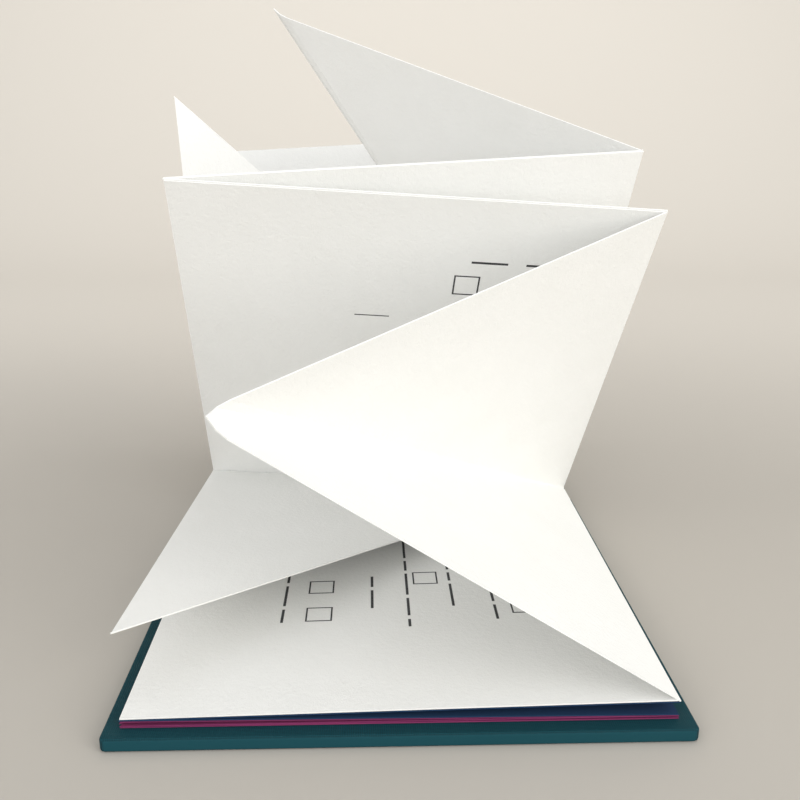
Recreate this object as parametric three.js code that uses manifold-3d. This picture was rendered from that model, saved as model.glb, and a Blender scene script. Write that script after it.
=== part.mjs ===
// Artist book of square-folded sheets in a cloth-covered hard cover.
// Millimetres, +Z up. The cover lies open on the table, outside down. The origin is on the table,
// under the middle of the back board. The pages stand on the back board, and the front board lies
// flat behind them (+Y). Each sheet is a square folded in four, with two quarters kept flat and the
// other two pressed inward on a diagonal, and it is glued by one flat quarter to the sheet below.
import * as THREE from "three";
import * as BufferGeometryUtils from "three/addons/utils/BufferGeometryUtils.js";
import Module from "manifold-3d";

const wasm = await Module();
wasm.setup();
const { Manifold, Mesh } = wasm;

// driving dimensions
const PAGE = 102; // side of one closed page
const CARD = 0.3; // thickness of the white card
const COLOURED = 0.16; // thickness of the coloured sheets and of the pastedown
const GLUE = 0.12; // gap left for the paste between two sheets
const OVERHANG = 3.2; // cover past the pages on every side
const BOARD = 2.6; // cover board with its cloth
const SPINE = 14; // width of the spine strip
const JOINT = 7; // bare cloth between two boards
const CLOTH = 0.5; // cloth and lining together
const SLIT = 0.3; // clearance between the boards and the joint cloth
const CORNER = 1.2; // corner radius of the boards
const EDGE = 0.45; // rounding of the board edges

// how far each sheet is open, in degrees:
// right = between the right-hand edges, left = between the left-hand edges, twist = in the plane
const OPEN_MAGENTA = { right: 0.3, left: 0.35, twist: 0 };
const OPEN_NAVY = { right: 0.62, left: 1.5, twist: 0 };
const OPEN_FRONT = { right: 55.9, left: 2.95, twist: 3.35 };
const OPEN_MIDDLE = { right: 1.0, left: 11.0, twist: 0 };
const OPEN_BACK = { right: 68.1, left: 1.2, twist: 0.6 };
// half width of the softly bent strip along a diagonal fold, in degrees at the sheet's centre
const SOFT_FRONT = 1.5;
const SOFT_BACK = 1.5;
// how far the free corner of a pressed-in quarter hangs below its place in a perfectly flat fold
const SAG_FRONT = 3.2;
const SAG_BACK = 3;
const SOFT_STRIPS = 4; // flat facets that the bent strip is made of

const COVER = PAGE + 2 * OVERHANG;
const SLIVER = 0.012; // facets thinner than this are merged after a join
const RIDGE = 0.58; // radius of a fold's ridge, as a share of the paper's thickness

const cream = { color: 0xf4f3ee, roughness: 0.92, metalness: 0 };
const navy = { color: 0x24395f, roughness: 0.9, metalness: 0 };
const magenta = { color: 0xb83268, roughness: 0.9, metalness: 0 };
const teal = { color: 0x1f4b50, roughness: 0.85, metalness: 0 };

const group = new THREE.Group();
group.name = "artist_book";

const v3 = (x, y, z) => new THREE.Vector3(x, y, z);

// three geometry to a manifold solid and back
function solidOf(geometry) {
  const bare = geometry.index ? geometry.toNonIndexed() : geometry.clone();
  bare.deleteAttribute("normal");
  bare.deleteAttribute("uv");
  const merged = BufferGeometryUtils.mergeVertices(bare, 1e-5);
  const mesh = new Mesh({
    numProp: 3,
    vertProperties: new Float32Array(merged.attributes.position.array),
    triVerts: new Uint32Array(merged.index.array),
  });
  mesh.merge();
  return new Manifold(mesh);
}

function geometryOf(solid) {
  const mesh = solid.getMesh();
  const position = new Float32Array((mesh.vertProperties.length / mesh.numProp) * 3);
  for (let i = 0; i < position.length / 3; i++) {
    for (let k = 0; k < 3; k++) position[3 * i + k] = mesh.vertProperties[mesh.numProp * i + k];
  }
  const shape = new THREE.BufferGeometry();
  shape.setAttribute("position", new THREE.BufferAttribute(position, 3));
  shape.setIndex(new THREE.BufferAttribute(new Uint32Array(mesh.triVerts), 1));
  const flat = shape.toNonIndexed();
  flat.computeVertexNormals();
  return flat;
}

// flat piece of card with the given outline, as thick as the paper
function slab(corners, thick) {
  const normal = v3(0, 0, 0)
    .crossVectors(
      corners[1].clone().sub(corners[0]),
      corners[corners.length - 1].clone().sub(corners[0]),
    )
    .normalize()
    .multiplyScalar(thick / 2);
  const n = corners.length;
  const points = [
    ...corners.map((c) => c.clone().sub(normal)),
    ...corners.map((c) => c.clone().add(normal)),
  ];
  const index = [];
  for (let i = 1; i < n - 1; i++) {
    index.push(0, i + 1, i, n, n + i, n + i + 1);
  }
  for (let i = 0; i < n; i++) {
    const j = (i + 1) % n;
    index.push(i, j, n + j, i, n + j, n + i);
  }
  const shape = new THREE.BufferGeometry();
  shape.setAttribute(
    "position",
    new THREE.BufferAttribute(new Float32Array(points.flatMap((p) => [p.x, p.y, p.z])), 3),
  );
  shape.setIndex(index);
  return solidOf(shape);
}

// round ridge of a fold from the sheet's centre to a point, a little thicker than the paper
function ridge(to, radius) {
  const length = to.length() + radius;
  const rod = new THREE.CylinderGeometry(radius, radius, length, 8, 1);
  rod.translate(0, length / 2, 0);
  rod.applyQuaternion(
    new THREE.Quaternion().setFromUnitVectors(v3(0, 1, 0), to.clone().normalize()),
  );
  return solidOf(rod);
}

const radians = THREE.MathUtils.degToRad;

// turn of a sheet's last flat quarter against its first one
function turnOf(open) {
  const turn = new THREE.Matrix4().makeRotationX(-radians(open.right));
  turn.multiply(new THREE.Matrix4().makeRotationY(radians(open.left)));
  turn.multiply(new THREE.Matrix4().makeRotationZ(radians(open.twist)));
  return turn;
}

// Directions of the paper from the sheet's centre across a gusset, from edge a to edge b, each with
// its angle on the flat sheet. Both halves stay flat, and the strip of half width soft between
// them bends round a cone. inward points to the side that the gusset is pressed to.
function gussetRays(a, b, inward, soft) {
  const quarter = Math.PI / 2;
  const across = b.clone().sub(a).normalize();
  const normal = v3(0, 0, 0).crossVectors(a, b).normalize();
  if (normal.dot(inward) < 0) normal.negate();
  if (soft === 0) {
    const base = a
      .clone()
      .add(b)
      .multiplyScalar(1 / (1 + a.dot(b)));
    const tip = base.clone().addScaledVector(normal, Math.sqrt(2 - base.lengthSq()));
    return [
      { angle: 0, way: a },
      { angle: quarter / 2, way: tip.normalize() },
      { angle: quarter, way: b },
    ];
  }
  const level = b.clone().addScaledVector(a, -a.dot(b)).normalize();
  const flat = quarter / 2 - soft;
  const bend = (lean) => {
    const out = level
      .clone()
      .multiplyScalar(Math.cos(lean))
      .addScaledVector(normal, Math.sin(lean));
    const end = a.clone().multiplyScalar(Math.cos(flat)).addScaledVector(out, Math.sin(flat));
    const heading = a
      .clone()
      .multiplyScalar(-Math.sin(flat))
      .addScaledVector(out, Math.cos(flat));
    const axis = v3(0, 0, 0).crossVectors(heading, across).normalize();
    if (axis.dot(end) < 0) axis.negate();
    const foot = axis.clone().multiplyScalar(axis.dot(end));
    const radius = end.distanceTo(foot);
    const reach = Math.asin(Math.min(1, Math.abs(end.dot(across)) / radius));
    return { end, axis, foot, radius, reach, spare: 2 * radius * reach - 2 * soft };
  };
  // from upright down to the lean at which the bent strip just spans the fold
  let high = Math.PI / 2;
  while (bend(high - 0.01).spare > 0 && high > 0.02) high -= 0.01;
  let low = high - 0.01;
  for (let i = 0; i < 40; i++) {
    const middle = (low + high) / 2;
    if (bend(middle).spare > 0) high = middle;
    else low = middle;
  }
  const cone = bend((low + high) / 2);
  const start = cone.end.clone().sub(cone.foot);
  const side = Math.sign(across.dot(cone.end)) || -1;
  const turnSign =
    Math.sign(
      v3(0, 0, 0).crossVectors(cone.axis, start).dot(across.clone().multiplyScalar(-side)),
    ) || 1;
  const rays = [{ angle: 0, way: a }];
  for (let i = 0; i <= SOFT_STRIPS; i++) {
    const part = i / SOFT_STRIPS;
    const way = start
      .clone()
      .applyAxisAngle(cone.axis, turnSign * part * 2 * cone.reach)
      .add(cone.foot);
    rays.push({ angle: flat + part * 2 * soft, way: way.normalize() });
  }
  rays.push({ angle: quarter, way: b });
  return rays;
}

// One folded sheet. The centre of its four quarters is at the origin, and its first quarter lies
// in the XY plane toward -X and -Y. down is the way that the soft corner sags.
function foldedSheet(open, soft, sag, thick, down) {
  const turn = turnOf(open);
  const right1 = v3(0, -1, 0);
  const left1 = v3(-1, 0, 0);
  const right2 = right1.clone().applyMatrix4(turn);
  const left2 = left1.clone().applyMatrix4(turn);
  const centre = v3(0, 0, 0);
  const at = (way, length) => way.clone().multiplyScalar(length);
  const pieces = [
    slab([centre, at(left1, PAGE), at(left1, PAGE).add(at(right1, PAGE)), at(right1, PAGE)], thick),
    slab([centre, at(left2, PAGE), at(left2, PAGE).add(at(right2, PAGE)), at(right2, PAGE)], thick),
  ];
  const gussets = [
    gussetRays(right1, right2, left1, radians(soft)),
    gussetRays(left1, left2, right1, 0),
  ];
  for (const rays of gussets) {
    const reach = (angle) => PAGE / Math.max(Math.cos(angle), Math.sin(angle));
    const ends = rays.map((ray) => at(ray.way, reach(ray.angle)));
    if (rays.length > 3) ends.slice(1, -1).forEach((end) => end.addScaledVector(down, sag));
    for (let i = 0; i + 1 < ends.length; i++) {
      pieces.push(slab([centre, ends[i], ends[i + 1]], thick));
    }
    const folds = rays.length === 3 ? ends : [ends[0], ends[ends.length - 1]];
    for (const end of folds) pieces.push(ridge(end, RIDGE * thick));
  }
  pieces.push(solidOf(new THREE.SphereGeometry(2 * RIDGE * thick, 12, 8)));
  // layers pressed together close off specks of air, which are left out
  const shells = Manifold.union(pieces).simplify(SLIVER).decompose();
  return geometryOf(shells.sort((one, other) => other.volume() - one.volume())[0]);
}

// cloth-covered board with rounded corners and edges, its underside at z = 0
function board(width, depth, thick, corner, edge) {
  const outline = new THREE.Shape();
  const w = width / 2 - edge;
  const d = depth / 2 - edge;
  const r = Math.max(corner - edge, 0.2);
  outline.moveTo(-w + r, -d);
  outline.lineTo(w - r, -d);
  outline.absarc(w - r, -d + r, r, -Math.PI / 2, 0, false);
  outline.lineTo(w, d - r);
  outline.absarc(w - r, d - r, r, 0, Math.PI / 2, false);
  outline.lineTo(-w + r, d);
  outline.absarc(-w + r, d - r, r, Math.PI / 2, Math.PI, false);
  outline.lineTo(-w, -d + r);
  outline.absarc(-w + r, -d + r, r, Math.PI, 1.5 * Math.PI, false);
  const shape = new THREE.ExtrudeGeometry(outline, {
    depth: thick - 2 * edge,
    bevelEnabled: true,
    bevelThickness: edge,
    bevelSize: edge,
    bevelSegments: 3,
    curveSegments: 5,
  });
  shape.translate(0, 0, edge);
  return geometryOf(solidOf(shape));
}

function strip(width, depth, thick) {
  const shape = new THREE.BoxGeometry(width, depth, thick);
  shape.translate(0, 0, thick / 2);
  return shape;
}

function piece(parent, name, geometry, material, x, y, z) {
  const mesh = new THREE.Mesh(geometry, new THREE.MeshStandardMaterial(material));
  mesh.name = name;
  mesh.position.set(x, y, z);
  parent.add(mesh);
  return mesh;
}

// cover, flat on the table with its outside down
const cover = new THREE.Group();
cover.name = "cover";
group.add(cover);
const backEdge = COVER / 2;
const spineStart = backEdge + JOINT;
const spineEnd = spineStart + SPINE;
const frontEdge = spineEnd + JOINT;
piece(cover, "back_board", board(COVER, COVER, BOARD, CORNER, EDGE), teal, 0, 0, 0);
piece(
  cover,
  "back_joint_cloth",
  strip(COVER - 2 * CORNER, JOINT - 2 * SLIT, CLOTH),
  teal,
  0,
  backEdge + JOINT / 2,
  0,
);
piece(
  cover,
  "spine_strip",
  board(COVER, SPINE, BOARD, CORNER, EDGE),
  teal,
  0,
  spineStart + SPINE / 2,
  0,
);
piece(
  cover,
  "front_joint_cloth",
  strip(COVER - 2 * CORNER, JOINT - 2 * SLIT, CLOTH),
  teal,
  0,
  spineEnd + JOINT / 2,
  0,
);
piece(
  cover,
  "front_board",
  board(COVER, COVER, BOARD, CORNER, EDGE),
  teal,
  0,
  frontEdge + COVER / 2,
  0,
);
piece(
  cover,
  "front_pastedown",
  strip(PAGE, PAGE, COLOURED),
  navy,
  0,
  frontEdge + COVER / 2,
  BOARD + GLUE,
);

// sheets, each one glued on the last quarter of the sheet before it
const pages = new THREE.Group();
pages.name = "pages";
pages.position.set(PAGE / 2, PAGE / 2, BOARD + GLUE + COLOURED / 2);
group.add(pages);

const sheets = [
  { name: "magenta_sheet", open: OPEN_MAGENTA, soft: 0, sag: 0, thick: COLOURED, finish: magenta },
  { name: "navy_sheet", open: OPEN_NAVY, soft: 0, sag: 0, thick: COLOURED, finish: navy },
  {
    name: "white_sheet_front",
    open: OPEN_FRONT,
    soft: SOFT_FRONT,
    sag: SAG_FRONT,
    thick: CARD,
    finish: cream,
  },
  { name: "white_sheet_middle", open: OPEN_MIDDLE, soft: 0, sag: 0, thick: CARD, finish: cream },
  {
    name: "white_sheet_back",
    open: OPEN_BACK,
    soft: SOFT_BACK,
    sag: SAG_BACK,
    thick: CARD,
    finish: cream,
  },
];
let holder = pages;
const facing = new THREE.Quaternion(); // of the holder, in the whole book
sheets.forEach((sheet, i) => {
  const down = v3(0, 0, -1).applyQuaternion(facing.clone().invert());
  const shape = foldedSheet(sheet.open, sheet.soft, sheet.sag, sheet.thick, down);
  piece(holder, sheet.name, shape, sheet.finish, 0, 0, 0);
  if (i + 1 === sheets.length) return;
  // the next sheet's centre is at the far corner of this sheet's last quarter
  const turn = turnOf(sheet.open);
  const lift = (sheet.thick + sheets[i + 1].thick) / 2 + GLUE;
  const next = new THREE.Group();
  next.name = `${sheet.name}_next`;
  next.position.copy(v3(-PAGE, -PAGE, lift).applyMatrix4(turn));
  next.quaternion.setFromRotationMatrix(
    turn.multiply(new THREE.Matrix4().makeRotationZ(Math.PI)),
  );
  facing.multiply(next.quaternion);
  holder.add(next);
  holder = next;
});

group.updateMatrixWorld(true);

export default group;
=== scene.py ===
# %% [markdown]
# Artist book of square-folded card sheets standing on an open cloth case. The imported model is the
# frame: it sits at the origin, in metres, +Z up, with the pages toward -Y and the front board
# behind.

# %% Load the frame
import math

import bmesh
import bpy
from mathutils import Matrix, Vector


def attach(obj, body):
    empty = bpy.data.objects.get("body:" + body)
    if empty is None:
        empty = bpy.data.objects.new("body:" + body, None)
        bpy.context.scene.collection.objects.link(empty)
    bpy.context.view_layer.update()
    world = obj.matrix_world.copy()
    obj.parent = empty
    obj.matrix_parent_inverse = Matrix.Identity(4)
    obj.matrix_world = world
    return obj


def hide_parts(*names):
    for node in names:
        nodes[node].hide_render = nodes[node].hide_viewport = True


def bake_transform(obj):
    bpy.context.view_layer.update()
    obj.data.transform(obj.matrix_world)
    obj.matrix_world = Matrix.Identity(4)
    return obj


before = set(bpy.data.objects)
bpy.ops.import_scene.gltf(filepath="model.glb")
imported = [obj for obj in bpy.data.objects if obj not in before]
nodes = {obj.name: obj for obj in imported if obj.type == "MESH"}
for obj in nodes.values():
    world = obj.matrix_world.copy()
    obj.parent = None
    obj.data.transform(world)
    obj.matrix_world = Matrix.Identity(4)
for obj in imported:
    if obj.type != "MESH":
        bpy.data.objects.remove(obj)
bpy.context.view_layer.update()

# %% [markdown]
# Sizes that the pieces below share with the model, in metres, and the opening of each sheet in
# degrees: between the right-hand edges, between the left-hand edges, and the twist. From these
# comes each sheet's place: its centre, with its first quarter toward -X and -Y.

# %% Sizes and the sheets' places
PAGE = 0.102  # side of one closed page
CARD = 0.0003  # white card
COLOURED = 0.00016  # navy and magenta sheets
GLUE = 0.00012  # paste between two sheets
BOARD = 0.0026  # cover board with its cloth
COVER = 0.1084  # side of a cover board
SPINE = 0.014  # width of the spine strip
JOINT = 0.007  # cloth between two boards
ABOVE = 0.00002  # print above the card
THICK = [COLOURED, COLOURED, CARD, CARD, CARD]
OPEN = {
    "magenta_sheet": (0.3, 0.35, 0),
    "navy_sheet": (0.62, 1.5, 0),
    "white_sheet_front": (55.9, 2.95, 3.35),
    "white_sheet_middle": (1.0, 11.0, 0),
    "white_sheet_back": (68.1, 1.2, 0.6),
}


def turn(opening):
    right, left, twist = (math.radians(a) for a in opening)
    return (
        Matrix.Rotation(-right, 4, "X")
        @ Matrix.Rotation(left, 4, "Y")
        @ Matrix.Rotation(twist, 4, "Z")
    )


place = {}
here = Matrix.Translation((PAGE / 2, PAGE / 2, BOARD + GLUE + COLOURED / 2))
for i, (name, opening) in enumerate(OPEN.items()):
    place[name] = here
    above = min(i + 1, len(THICK) - 1)
    step = (THICK[i] + THICK[above]) / 2 + GLUE
    here = (
        here
        @ turn(opening)
        @ Matrix.Translation((-PAGE, -PAGE, step))
        @ Matrix.Rotation(math.pi, 4, "Z")
    )
print("last sheet's centre:", [round(v, 4) for v in place["white_sheet_back"].translation])

# %% [markdown]
# Small helpers: colours are written as sRGB hex, and one function adds a node with its inputs set.


# %% Helpers
def linear(hex_colour):
    parts = [int(hex_colour[i : i + 2], 16) / 255 for i in (1, 3, 5)]
    return (*(p / 12.92 if p <= 0.04045 else ((p + 0.055) / 1.055) ** 2.4 for p in parts), 1.0)


def add(material, kind, props=None, **inputs):
    node = material.node_tree.nodes.new(kind)
    for key, value in (props or {}).items():
        setattr(node, key, value)
    for key, value in inputs.items():
        socket = node.inputs[key.replace("_", " ")]
        if isinstance(value, bpy.types.NodeSocket):
            wire(material, value, socket)
        else:
            socket.default_value = value
    return node


def wire(material, source, target):
    material.node_tree.links.new(source, target)


def new_material(name, colour, roughness):
    material = bpy.data.materials.new(name)
    material.use_nodes = True
    shader = material.node_tree.nodes["Principled BSDF"]
    shader.inputs["Base Color"].default_value = linear(colour)
    shader.inputs["Roughness"].default_value = roughness
    return material, shader


def ramp(material, value, low, high, low_at=0.0, high_at=1.0):
    node = add(material, "ShaderNodeValToRGB", Fac=value)
    for stop, colour, at in zip(node.color_ramp.elements, (low, high), (low_at, high_at)):
        stop.position = at
        stop.color = linear(colour)
    return node.outputs["Color"]


def bump(material, shader, height, strength, distance):
    node = add(
        material, "ShaderNodeBump", Height=height, Strength=strength, Distance=distance
    )
    wire(material, node.outputs["Normal"], shader.inputs["Normal"])


def give(obj, material):
    obj.data.materials.clear()
    obj.data.materials.append(material)


def new_object(name, form):
    mesh = bpy.data.meshes.new(name)
    form.to_mesh(mesh)
    form.free()
    obj = bpy.data.objects.new(name, mesh)
    bpy.context.collection.objects.link(obj)
    return obj


def make_active(obj):
    bpy.ops.object.select_all(action="DESELECT")
    obj.select_set(True)
    bpy.context.view_layer.objects.active = obj


# %% [markdown]
# Uncoated card: a nearly even colour with a faint cloudiness, and two sizes of tooth in the bump,
# felt marks about 1 mm across and fibres about 0.25 mm.


# %% Card materials
CLOUD, FELT, FIBRE = 60.0, 1000.0, 4000.0  # noise cells in a metre
TOOTH = 0.00012  # depth of the tooth


def card(name, light, dark, tooth):
    material, shader = new_material(name, light, 0.88)
    shader.inputs["Specular IOR Level"].default_value = 0.25
    where = add(material, "ShaderNodeTexCoord").outputs["Object"]
    cloud = add(material, "ShaderNodeTexNoise", Vector=where, Scale=CLOUD, Detail=3.0)
    mix = add(
        material, "ShaderNodeMix", {"data_type": "RGBA"}, Factor=cloud.outputs["Fac"]
    )
    colour_in = [s for s in mix.inputs if s.type == "RGBA"]
    colour_in[0].default_value = linear(light)
    colour_in[1].default_value = linear(dark)
    colour_out = [s for s in mix.outputs if s.type == "RGBA"][0]
    wire(material, colour_out, shader.inputs["Base Color"])
    felt = add(material, "ShaderNodeTexNoise", Vector=where, Scale=FELT, Detail=2.0)
    fibre = add(material, "ShaderNodeTexNoise", Vector=where, Scale=FIBRE, Detail=3.0)
    both = add(material, "ShaderNodeMath", {"operation": "MULTIPLY_ADD"})
    wire(material, fibre.outputs["Fac"], both.inputs[0])
    both.inputs[1].default_value = 0.5
    wire(material, felt.outputs["Fac"], both.inputs[2])
    bump(material, shader, both.outputs["Value"], tooth, TOOTH)
    return material


white_card = card("white_card_stock", "#F6F6F4", "#F0F0ED", 0.8)
navy_card = card("navy_card_stock", "#24395F", "#1B3A55", 0.5)
magenta_card = card("magenta_card_stock", "#8E3663", "#742E5A", 0.5)
print("card:", [m.name for m in (white_card, navy_card, magenta_card)])

# %% [markdown]
# Book cloth: a plain weave with threads about 0.4 mm apart, raised where warp and weft cross, with
# painted shade in the low gaps between the threads. The slubs in the thread vary how matt it is.


# %% Book cloth
THREADS = 785.0  # wave scale that gives one thread every 0.4 mm
SLUBS = 350.0  # noise cells in a metre
RELIEF = 0.00008  # height of a thread


def book_cloth(name, thread, painted_gap_shade):
    material, shader = new_material(name, thread, 0.62)
    shader.inputs["Specular IOR Level"].default_value = 0.12
    where = add(material, "ShaderNodeTexCoord").outputs["Object"]
    weave = add(material, "ShaderNodeMath", {"operation": "MAXIMUM"})
    for socket, direction in zip(weave.inputs, ("X", "Y")):
        threads = add(
            material,
            "ShaderNodeTexWave",
            {"bands_direction": direction},
            Vector=where,
            Scale=THREADS,
            Distortion=0.6,
            Detail=1.0,
        )
        wire(material, threads.outputs["Fac"], socket)
    # colour runs from painted shade in the low gaps between threads up to the thread's own colour
    colour = ramp(material, weave.outputs["Value"], painted_gap_shade, thread, 0.2, 0.85)
    wire(material, colour, shader.inputs["Base Color"])
    slub = add(material, "ShaderNodeTexNoise", Vector=where, Scale=SLUBS, Detail=2.0)
    rough = add(
        material, "ShaderNodeMapRange", Value=slub.outputs["Fac"], To_Min=0.5, To_Max=0.78
    )
    wire(material, rough.outputs["Result"], shader.inputs["Roughness"])
    bump(material, shader, weave.outputs["Value"], 0.6, RELIEF)
    return material


# the second colour is painted shade for the gaps between threads
teal_cloth = book_cloth("teal_book_cloth", "#17464F", "#082A30")
print("cloth:", teal_cloth.name)

# %% [markdown]
# The model's sheets and boards have the right shape, so they stay and take these materials. The
# soft folds shade smoothly, and sharp edges stay sharp.

# %% Finish of the model's own pieces
SHARP_FROM = math.radians(40)
finish = {
    "back_board": teal_cloth,
    "spine_strip": teal_cloth,
    "front_board": teal_cloth,
    "front_pastedown": navy_card,
    "magenta_sheet": magenta_card,
    "navy_sheet": navy_card,
    "white_sheet_front": white_card,
    "white_sheet_middle": white_card,
    "white_sheet_back": white_card,
}
for name, material in finish.items():
    give(nodes[name], material)
    make_active(nodes[name])
    bpy.ops.object.shade_smooth_by_angle(angle=SHARP_FROM)
print("finished:", len(finish), "model pieces")

# %% [markdown]
# Cloth joints: one bent strip each, over the two board edges and down into the groove between
# them. It stands for the model's flat strip, which is hidden. The groove stays high
# enough that the cloth is still clear of the table when the cover is raised.

# %% Cloth joints
LONG = COVER - 0.0002  # length of a joint, just short of the boards
CLOTH = 0.0003  # thickness of the cloth with its lining
RIM = BOARD - 0.0006  # where the cloth leaves a board's edge
GROOVE = 0.0014  # height of the cloth in the middle of the joint
CLOTH_STEPS = 24
CLOTH_SHARP_FROM = math.radians(50)


def joint_cloth(name, stands_for, start_y):
    form = bmesh.new()
    grid = []
    for i in range(CLOTH_STEPS + 1):
        part = i / CLOTH_STEPS
        y = start_y + JOINT * part
        z = RIM - (RIM - GROOVE) * math.sin(math.pi * part) ** 0.5
        grid.append(
            [
                form.verts.new((-LONG / 2 + LONG * c / CLOTH_STEPS, y, z))
                for c in range(CLOTH_STEPS + 1)
            ]
        )
    for low, high in zip(grid, grid[1:]):
        for c in range(CLOTH_STEPS):
            form.faces.new((low[c], low[c + 1], high[c + 1], high[c]))
    form.normal_update()
    piece = new_object(name, form)
    make_active(piece)
    shell = piece.modifiers.new("shell", "SOLIDIFY")
    shell.thickness = CLOTH
    shell.offset = -1
    bpy.ops.object.modifier_apply(modifier="shell")
    bpy.ops.object.shade_smooth_by_angle(angle=CLOTH_SHARP_FROM)
    give(piece, teal_cloth)
    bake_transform(piece)
    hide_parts(stands_for)
    print(name, "faces:", len(piece.data.polygons))


back_edge = COVER / 2
spine_end = back_edge + JOINT + SPINE
joint_cloth("back_joint_fold", "back_joint_cloth", back_edge)
joint_cloth("front_joint_fold", "front_joint_cloth", spine_end)

# %% [markdown]
# Print: open squares, thin rules and short word-length bars stand where the real pages have text,
# in a layout of their own. They lie 0.02 mm above the card. u runs along the fold and v away
# from it, from the sheet's centre, in millimetres.

# %% Printed marks
LINE = 0.36  # width of a square's outline
SQUARE = 5.8  # side of a square
BAR = 0.6  # height of a word bar
GAP = 1.5  # space between two words

ink, ink_shader = new_material("black_ink", "#2B2B2D", 0.7)
speck = add(ink, "ShaderNodeTexNoise", Scale=2500.0, Detail=2.0)
wire(ink, add(ink, "ShaderNodeTexCoord").outputs["Object"], speck.inputs["Vector"])
wire(ink, ramp(ink, speck.outputs["Fac"], "#232325", "#4A4A4C"), ink_shader.inputs["Base Color"])


def bar(form, u0, u1, v0, v1):
    corners = [(-u0, -v0), (-u0, -v1), (-u1, -v1), (-u1, -v0)]
    form.faces.new([form.verts.new((x / 1000, y / 1000, 0)) for x, y in corners])


def open_square(form, u, v):
    far_u, far_v = u + SQUARE, v + SQUARE
    bar(form, u, far_u, v, v + LINE)
    bar(form, u, far_u, far_v - LINE, far_v)
    bar(form, u, u + LINE, v + LINE, far_v - LINE)
    bar(form, far_u - LINE, far_u, v + LINE, far_v - LINE)


def words(u, v, lengths):
    made = []
    for length in lengths:
        made.append((u, u + BAR, v - length, v))
        v -= length + GAP
    return made


def printed(name, bars, squares, where):
    form = bmesh.new()
    for sizes in bars:
        bar(form, *sizes)
    for u, v in squares:
        open_square(form, u, v)
    piece = new_object(name, form)
    piece.data.transform(where)
    give(piece, ink)
    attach(piece, "pages_and_back")
    print(name, "marks:", len(bars) + len(squares))


front = place["white_sheet_front"]
bottom_words = words(75.5, 71, (5.5, 9, 4)) + words(48, 74, (3, 7.5, 10, 5, 12, 8))
bottom_words += words(56, 66, (8, 5)) + words(29, 72, (6, 9, 4, 11)) + words(38, 66, (10, 4, 7))
bottom_squares = [(65, 65), (65, 53), (41, 50), (20, 64)]
printed(
    "print_bottom_square",
    bottom_words,
    bottom_squares,
    front @ Matrix.Translation((0, 0, CARD / 2 + ABOVE)),
)
upright_bars = [(30, 38, 85.0, 85.6), (17, 26, 85.0, 85.6), (55, 63, 67.2, 67.5)]
printed(
    "print_upright_square",
    upright_bars,
    [(35.5, 75.5)],
    front @ turn(OPEN["white_sheet_front"]) @ Matrix.Translation((0, 0, -CARD / 2 - ABOVE)),
)

# %% [markdown]
# Stage: a pale floor that sweeps up far behind, with soft light. The strongest light comes low
# from the front right, a weaker one from the front left, and one is turned to the wall behind.

# %% Stage
WIDE = 5.0  # floor, from left to right
FRONT_EDGE, BEND_START, BEND_RADIUS, TOP_EDGE = -1.5, 0.5, 0.5, 2.0
UNDER = 0.0001  # floor below the cover

floor_material, floor_shader = new_material("pale_linen_stage", "#BEB9B1", 0.95)
floor_shader.inputs["Specular IOR Level"].default_value = 0.1
profile = [(FRONT_EDGE, 0.0), (BEND_START, 0.0)]
for degrees in range(6, 91, 6):
    angle = math.radians(degrees)
    profile.append(
        (
            BEND_START + BEND_RADIUS * math.sin(angle),
            BEND_RADIUS - BEND_RADIUS * math.cos(angle),
        )
    )
profile.append((BEND_START + BEND_RADIUS, TOP_EDGE))
sweep = bmesh.new()
rows = [
    [sweep.verts.new((x, y, z - UNDER)) for x in (-WIDE / 2, WIDE / 2)] for y, z in profile
]
for low, high in zip(rows, rows[1:]):
    sweep.faces.new((low[0], low[1], high[1], high[0]))
floor = new_object("floor", sweep)
floor.data.polygons.foreach_set("use_smooth", [True] * len(floor.data.polygons))
give(floor, floor_material)


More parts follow.
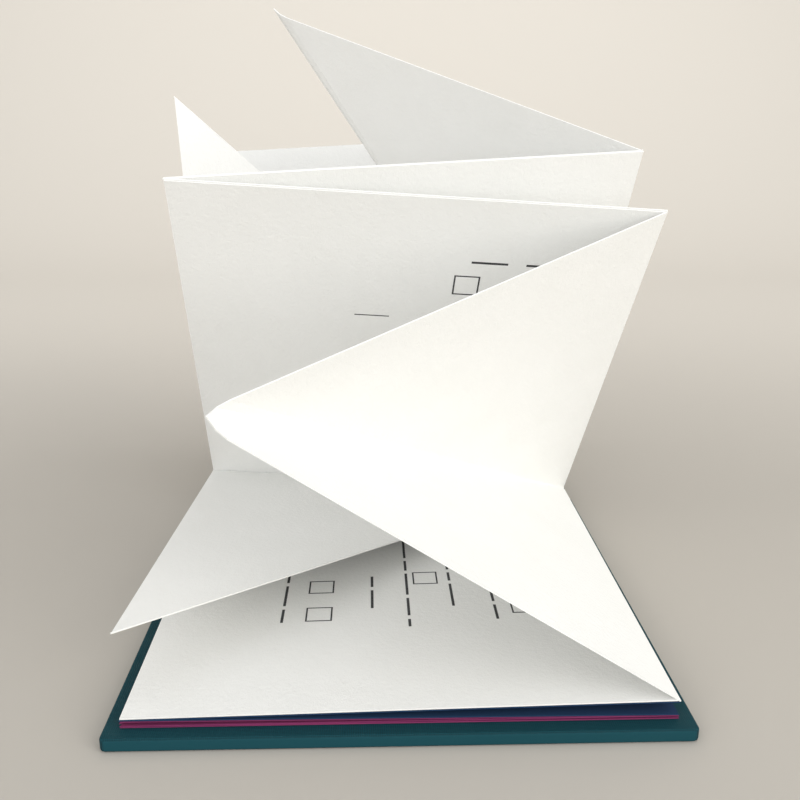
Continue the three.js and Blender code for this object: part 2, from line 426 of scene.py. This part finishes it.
def area_light(name, watts, size, where, aim, colour):
    data = bpy.data.lights.new(name, "AREA")
    data.energy = watts
    data.size = size
    data.color = linear(colour)[:3]
    lamp = bpy.data.objects.new(name, data)
    bpy.context.collection.objects.link(lamp)
    lamp.location = where
    lamp.rotation_euler = (Vector(aim) - Vector(where)).to_track_quat("-Z", "Y").to_euler()


area_light("key", 11.0, 1.0, (1.05, -0.85, 0.42), (0, 0, 0.05), "#FFFDF8")
area_light("top", 1.2, 1.2, (0.4, -0.1, 1.15), (0, 0, 0), "#FFFFFF")
area_light("fill", 9.0, 1.2, (-0.8, -1.15, 0.35), (0, 0, 0.04), "#FFFFFF")
area_light("back", 9.0, 1.3, (0.0, 0.25, 0.95), (0, 1.5, 0.7), "#FFFFFF")
world = bpy.data.worlds.new("studio")
bpy.context.scene.world = world
world.use_nodes = True
sky = world.node_tree.nodes["Background"]
sky.inputs["Color"].default_value = linear("#F4F5F6")
sky.inputs["Strength"].default_value = 0.82
bpy.context.scene.view_settings.view_transform = "Standard"
print("lights:", len(bpy.data.lights))

# %% [markdown]
# The camera stands where the photograph was taken from: near, a little above the pages, and
# looking down on them by about 16 degrees. Its angles are in radians.

# %% Camera
YAW, PITCH, ROLL = 0.03599, 0.28681, 0.00566
STANDPOINT = (-0.00572, -0.18921, 0.10511)
LENS = 39.8101  # millimetres, on a sensor 36 mm wide

ahead = Vector(
    (math.sin(YAW) * math.cos(PITCH), math.cos(YAW) * math.cos(PITCH), -math.sin(PITCH))
)
level = Vector((math.cos(YAW), -math.sin(YAW), 0))
upward = level.cross(ahead)
side = level * math.cos(ROLL) + upward * math.sin(ROLL)
top = upward * math.cos(ROLL) - level * math.sin(ROLL)
lens = bpy.data.cameras.new("camera")
lens.sensor_width = 36
lens.lens = LENS
camera = bpy.data.objects.new("camera", lens)
bpy.context.collection.objects.link(camera)
facing = Matrix((side, top, -ahead)).transposed().to_4x4()
camera.matrix_world = Matrix.Translation(STANDPOINT) @ facing
bpy.context.scene.camera = camera
print("camera at", STANDPOINT, "lens", round(lens.lens, 1))
